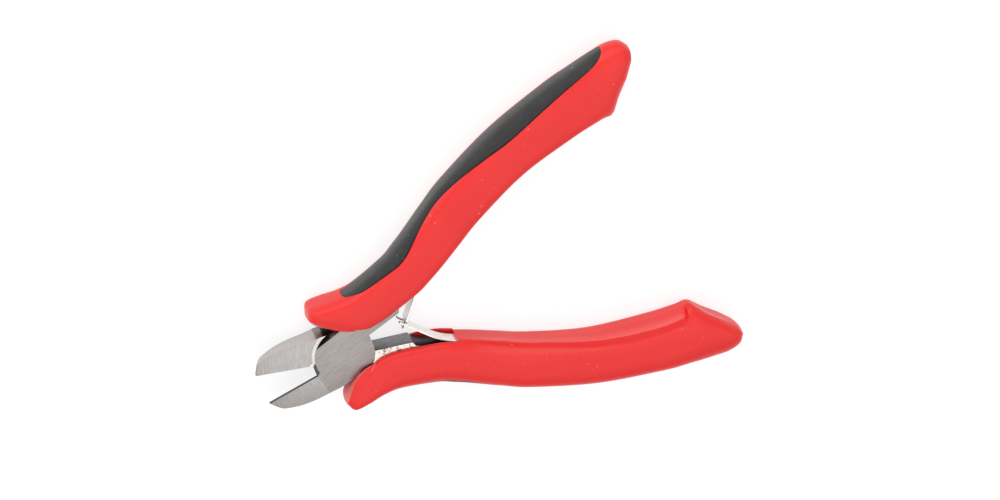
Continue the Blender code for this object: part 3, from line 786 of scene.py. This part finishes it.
def calc(tree, what, a, b):
    return addNode(tree, "ShaderNodeMath", {"operation": what}, i0=a, i1=b).outputs[0]


def faceValue(tree, name):
    return addNode(tree, "ShaderNodeAttribute", {"attribute_name": name}).outputs["Fac"]


def layFinish(tree, shader, tone, roughness, height, strength, distance):  # colour, gloss and fine relief
    bump = addNode(tree, "ShaderNodeBump", Height=height, Strength=strength, Distance=distance)
    tree.links.new(tone, shader.inputs["Base Color"])
    tree.links.new(roughness, shader.inputs["Roughness"])
    tree.links.new(bump.outputs["Normal"], shader.inputs["Normal"])


# ground tool steel: grind marks along the head, across the jaws, oxide on the tang sides; painted shade in
# the lap recess, the tang's hollow and on the edge flank, and jaw side walls painted paler as a painted
# reflection
steelLook = {"light": (0.285, 0.26, 0.25), "dark": (0.215, 0.195, 0.187), "broad": (0.30, 0.276, 0.265),
             "jawLight": (0.365, 0.348, 0.338), "jawDark": (0.28, 0.266, 0.257), "rust": (0.19, 0.12, 0.06),
             "rawLight": (0.72, 0.66, 0.61), "raw": (0.60, 0.54, 0.49), "rawDark": (0.2, 0.14, 0.1),
             "oxideLight": (0.245, 0.247, 0.256), "oxideDark": (0.175, 0.177, 0.186),
             "strip": (0.54, 0.51, 0.475), "rim": (0.52, 0.495, 0.48), "paintedHollowShade": (0.006, 0.005, 0.006),
             "paintedFlankShade": (0.05, 0.055, 0.062), "paintedRecessShade": (0.012, 0.011, 0.012)}


def steelFinish(name, turn):
    look = steelLook
    tree, shader, finish = newFinish(name, 0.36, 1.0)
    place = addNode(tree, "ShaderNodeTexCoord").outputs["Object"]
    lapMarks = grain(tree, turn, (280, 4200, 900), 4, 0.7)
    jawMarks = grain(tree, turn + 80, (380, 5200, 900), 4, 0.7)
    broad = grain(tree, turn, (110, 160, 120), 2, 0.5)
    jaw = faceValue(tree, "jawGrind")
    marks = blendColor(tree, jaw, lapMarks, jawMarks)
    marks = addNode(tree, "ShaderNodeRGBToBW", Color=marks).outputs[0]
    tone = ramp(tree, lapMarks, (0.3, look["dark"]), (0.62, look["light"]))
    jawTone = ramp(tree, jawMarks, (0.3, look["jawDark"]), (0.62, look["jawLight"]))
    tone = blendColor(tree, jaw, tone, jawTone)
    tone = blendColor(tree, ramp(tree, broad, (0.35, 0.0), (0.75, 0.3)), tone, look["broad"])
    speck = grain(tree, 0, (520, 520, 520), 2, 0.5)
    tone = blendColor(tree, ramp(tree, speck, (0.725, 0.0), (0.78, 0.7)), tone, look["rust"])
    rawSpeck = grain(tree, 0, (900, 900, 900), 3, 0.7)
    rawTone = ramp(tree, rawSpeck, (0.37, look["rawDark"]), (0.45, look["raw"]), (0.8, look["rawLight"]))
    tone = blendColor(tree, faceValue(tree, "raw"), tone, rawTone)
    flat = addNode(tree, "ShaderNodeVectorMath", {"operation": "MULTIPLY"}, i0=place, i1=(1, 1, 0))
    fromPivot = addNode(tree, "ShaderNodeVectorMath", {"operation": "LENGTH"}, i0=flat.outputs[0])
    fromPivot = calc(tree, "MULTIPLY", fromPivot.outputs["Value"], 100)
    beside = ramp(tree, fromPivot, (0.84, 1.0), (0.87, 0.0))
    stripTone = blendColor(tree, beside, jawTone, look["strip"])
    tone = blendColor(tree, faceValue(tree, "strip"), tone, stripTone)
    scale = grain(tree, turn, (700, 700, 700), 3, 0.6)
    oxideTone = ramp(tree, scale, (0.3, look["oxideDark"]), (0.7, look["oxideLight"]))
    tone = blendColor(tree, faceValue(tree, "oxide"), tone, oxideTone)
    # painted reflection: paler jaw side walls
    tone = blendColor(tree, faceValue(tree, "rim"), tone, look["rim"])
    # painted shade in the tang's hollow, darker towards the bottom
    high = addNode(tree, "ShaderNodeSeparateXYZ", Vector=place).outputs["Z"]
    level = calc(tree, "MULTIPLY", high, 1 / (steelHalves["thick"] * mm))
    shade = ramp(tree, level, (0.2, 0.55), (0.75, 0.97))
    tone = blendColor(tree, calc(tree, "MULTIPLY", faceValue(tree, "paintedHollowShade"), shade), tone, look["paintedHollowShade"])
    # painted shade on the edge flank
    tone = blendColor(tree, faceValue(tree, "paintedFlankShade"), tone, look["paintedFlankShade"])
    # painted shade in the lap recess
    tone = blendColor(tree, faceValue(tree, "paintedRecessShade"), tone, look["paintedRecessShade"])
    gloss = ramp(tree, marks, (0.3, 0.5), (0.65, 0.32))
    layFinish(tree, shader, tone, gloss, marks, 0.25, 0.00004)
    return finish


frontHalf.data.materials.append(steelFinish("groundSteelFront", opening + 3))
backHalf.data.materials.append(steelFinish("groundSteelBack", -opening))
rivet.data.materials.append(steelFinish("groundSteelRivet", opening + 3))

# bright nickel strip, its cut edges at the crossing painted near black, partly as painted shade
leafLook = {"light": (0.95, 0.925, 0.89), "dark": (0.8, 0.77, 0.73), "stain": (0.33, 0.27, 0.21),
            "shearedAndShaded": (0.05, 0.036, 0.028)}


def leafFinish(name, turn):
    tree, shader, finish = newFinish(name, 0.3, 0.75)
    streaks = grain(tree, turn, (60, 900, 2600), 3, 0.6)
    tone = ramp(tree, streaks, (0.25, leafLook["dark"]), (0.6, leafLook["light"]))
    stain = grain(tree, 0, (420, 420, 420), 3, 0.6)
    tone = blendColor(tree, ramp(tree, stain, (0.66, 0.0), (0.8, 0.5)), tone, leafLook["stain"])
    # cut edges at the crossing painted near black, partly painted shade
    bare = calc(tree, "MULTIPLY", faceValue(tree, "shearedAndShaded"), 0.9)
    tone = blendColor(tree, bare, tone, leafLook["shearedAndShaded"])
    gloss = ramp(tree, streaks, (0.3, 0.42), (0.7, 0.26))
    layFinish(tree, shader, tone, gloss, streaks, 0.2, 0.00003)
    return finish


leafUpper.data.materials.append(leafFinish("nickelStripUpper", opening))
leafLower.data.materials.append(leafFinish("nickelStripLower", -opening))

# red moulded plastic with a fine spark texture and a few dust specks; guard end painted paler as a painted
# reflection, painted highlight on the raised band, painted shade on the down side and in the groove
# end and glow are a painted reflection and a painted highlight; groove and low are painted shade
redLook = {"red": (0.8, 0.0165, 0.013), "deep": (0.755, 0.011, 0.010), "dust": (0.9, 0.32, 0.28),
           "end": (0.8, 0.2, 0.19), "glow": (0.8, 0.085, 0.075), "groove": (0.71, 0.003, 0.003),
           "low": (0.75, 0.002, 0.002)}


def redFinish(name):
    tree, shader, finish = newFinish(name, 0.38, specular=0.42, sheen=0.14, sheenRoughness=0.4)
    cloud = grain(tree, 0, (70, 70, 70), 3, 0.5)
    tone = ramp(tree, cloud, (0.3, redLook["deep"]), (0.7, redLook["red"]))
    # painted reflection: the guard's end face is painted paler
    pale = calc(tree, "MULTIPLY", faceValue(tree, "guardEndPaintedReflection"), 0.58)
    tone = blendColor(tree, pale, tone, redLook["end"])
    # painted shade: the side turned down is painted a deeper red
    tone = blendColor(tree, faceValue(tree, "paintedDownShade"), tone, redLook["low"])
    # painted highlight on the raised band and its shoulder
    tone = blendColor(tree, faceValue(tree, "paintedBandHighlight"), tone, redLook["glow"])
    # painted shade in the groove under the band
    tone = blendColor(tree, faceValue(tree, "paintedGrooveShade"), tone, redLook["groove"])
    dust = grain(tree, 0, (1100, 1100, 1100), 2, 0.4)
    tone = blendColor(tree, ramp(tree, dust, (0.74, 0.0), (0.8, 0.6)), tone, redLook["dust"])
    spark = grain(tree, 0, (3200, 3200, 3200), 3, 0.6)
    gloss = ramp(tree, spark, (0.3, 0.34), (0.7, 0.44))
    layFinish(tree, shader, tone, gloss, spark, 0.18, 0.00006)
    return finish


# charcoal soft inlay, dusty rubber
inlayLook = {"base": (0.009, 0.0083, 0.0083), "pale": (0.021, 0.0195, 0.0195), "dust": (0.22, 0.21, 0.21)}


def inlayFinish(name):
    tree, shader, finish = newFinish(name, 0.55, specular=0.3, sheen=0.4)
    cloud = grain(tree, 0, (420, 420, 420), 4, 0.7)
    tone = ramp(tree, cloud, (0.3, inlayLook["base"]), (0.72, inlayLook["pale"]))
    dust = grain(tree, 0, (950, 950, 950), 2, 0.4)
    tone = blendColor(tree, ramp(tree, dust, (0.72, 0.0), (0.78, 0.6)), tone, inlayLook["dust"])
    pebble = grain(tree, 0, (2600, 2600, 2600), 3, 0.6)
    gloss = ramp(tree, pebble, (0.3, 0.48), (0.7, 0.62))
    layFinish(tree, shader, tone, gloss, pebble, 0.22, 0.00008)
    return finish


inlayLower = twin(inlayUpper, "inlayLowerStrip")
gripUpper.data.materials.append(redFinish("redPlasticUpper"))
gripLower.data.materials.append(redFinish("redPlasticLower"))
inlayUpper.data.materials.append(inlayFinish("softInlayUpper"))
inlayLower.data.materials.append(inlayFinish("softInlayLower"))
print("finishes laid on")

for piece in (gripLower, inlayLower):
    turnOver(piece)
for piece in (frontHalf, leafUpper, gripUpper, inlayUpper):
    swingOpen(piece, opening)
for piece in (backHalf, leafLower, gripLower, inlayLower):
    swingOpen(piece, -opening)
print("halves swung open")

# which CAD node each piece stands for, and the body that carries it
carried = [(frontHalf, "front_half", "upper_handle"), (backHalf, "back_half", "lower_handle"),
           (rivet, "pivot_rivet", "lower_handle"), (gripUpper, "grip_body_upper", "upper_handle"),
           (gripLower, "grip_body_lower", "lower_handle"), (inlayUpper, "soft_inlay_upper", "upper_handle"),
           (inlayLower, "soft_inlay_lower", "lower_handle")]
for piece, node, body in carried:
    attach(piece, body)
    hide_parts(node)
for leaf, side, node, own, other in ((leafUpper, 1, "leaf_spring_upper", "upper_handle", "lower_handle"),
                                     (leafLower, -1, "leaf_spring_lower", "lower_handle", "upper_handle")):
    path = leafPath(side)[0]
    swing = Matrix.Rotation(math.radians(side * opening), 2)
    root = swing @ Vector((path[4].x, path[4].y * side))  # the start of the leaf's curve, turned open
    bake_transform(leaf)
    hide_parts(node)
print("pieces ride on their bodies")

# pale floor and soft studio light
studio = {"floor": (0.93, 0.93, 0.93), "floorLow": -0.00242, "shadow": (0.3, 0.3, 0.3), "shine": 0.76,
          "ambient": 0.55, "key": 18.4, "back": 4.5}
clearPick()
bpy.ops.mesh.primitive_plane_add(size=4, location=(0.05, 0, studio["floorLow"]))
floor = bpy.context.object
floor.name = "studioFloor"
tree, shader, floorFinish = newFinish("paleFloor", 0.9, specular=0.0)
shader.inputs["Base Color"].default_value = (*studio["floor"], 1)
rays = addNode(tree, "ShaderNodeLightPath")
shown = addNode(tree, "ShaderNodeBsdfDiffuse", Color=(*studio["shadow"], 1))  # white with a light shadow
glow = addNode(tree, "ShaderNodeEmission", Strength=studio["shine"])
both = addNode(tree, "ShaderNodeAddShader", i0=shown.outputs[0], i1=glow.outputs[0])
seen = calc(tree, "MAXIMUM", rays.outputs["Is Camera Ray"], rays.outputs["Is Glossy Ray"])
pick = addNode(tree, "ShaderNodeMixShader", i0=seen, i1=shader.outputs[0], i2=both.outputs[0])
tree.links.new(pick.outputs[0], tree.nodes["Material Output"].inputs["Surface"])
floor.data.materials.append(floorFinish)

world = bpy.data.worlds.new("studioWorld")
bpy.context.scene.world = world
world.use_nodes = True
tree = world.node_tree
background = tree.nodes["Background"]
background.inputs["Color"].default_value = (1, 1, 1, 1)
rays = addNode(tree, "ShaderNodeLightPath")
seen = calc(tree, "MAXIMUM", rays.outputs["Is Camera Ray"], rays.outputs["Is Glossy Ray"])
seen = calc(tree, "MAXIMUM", seen, rays.outputs["Is Transmission Ray"])
strength = addNode(tree, "ShaderNodeMapRange", i0=seen, i3=studio["ambient"], i4=1.0)
tree.links.new(strength.outputs[0], background.inputs["Strength"])


def softLamp(name, place, target, size, power):
    lampData = bpy.data.lights.new(name, "AREA")
    lampData.shape = "RECTANGLE"
    lampData.size, lampData.size_y = size
    lampData.energy = power
    lamp = bpy.data.objects.new(name, lampData)
    bpy.context.scene.collection.objects.link(lamp)
    way = Vector(place) - Vector(target)
    lamp.matrix_world = Matrix.Translation(place) @ way.to_track_quat("Z", "Y").to_matrix().to_4x4()


softLamp("keyPanel", (0.05, -0.2, 1.6), (0.04, 0, 0), (3.0, 2.6), studio["key"])
softLamp("backPanel", (-0.1, 0.8, 0.3), (0.02, 0, 0), (1.8, 0.5), studio["back"])
print("studio lit")
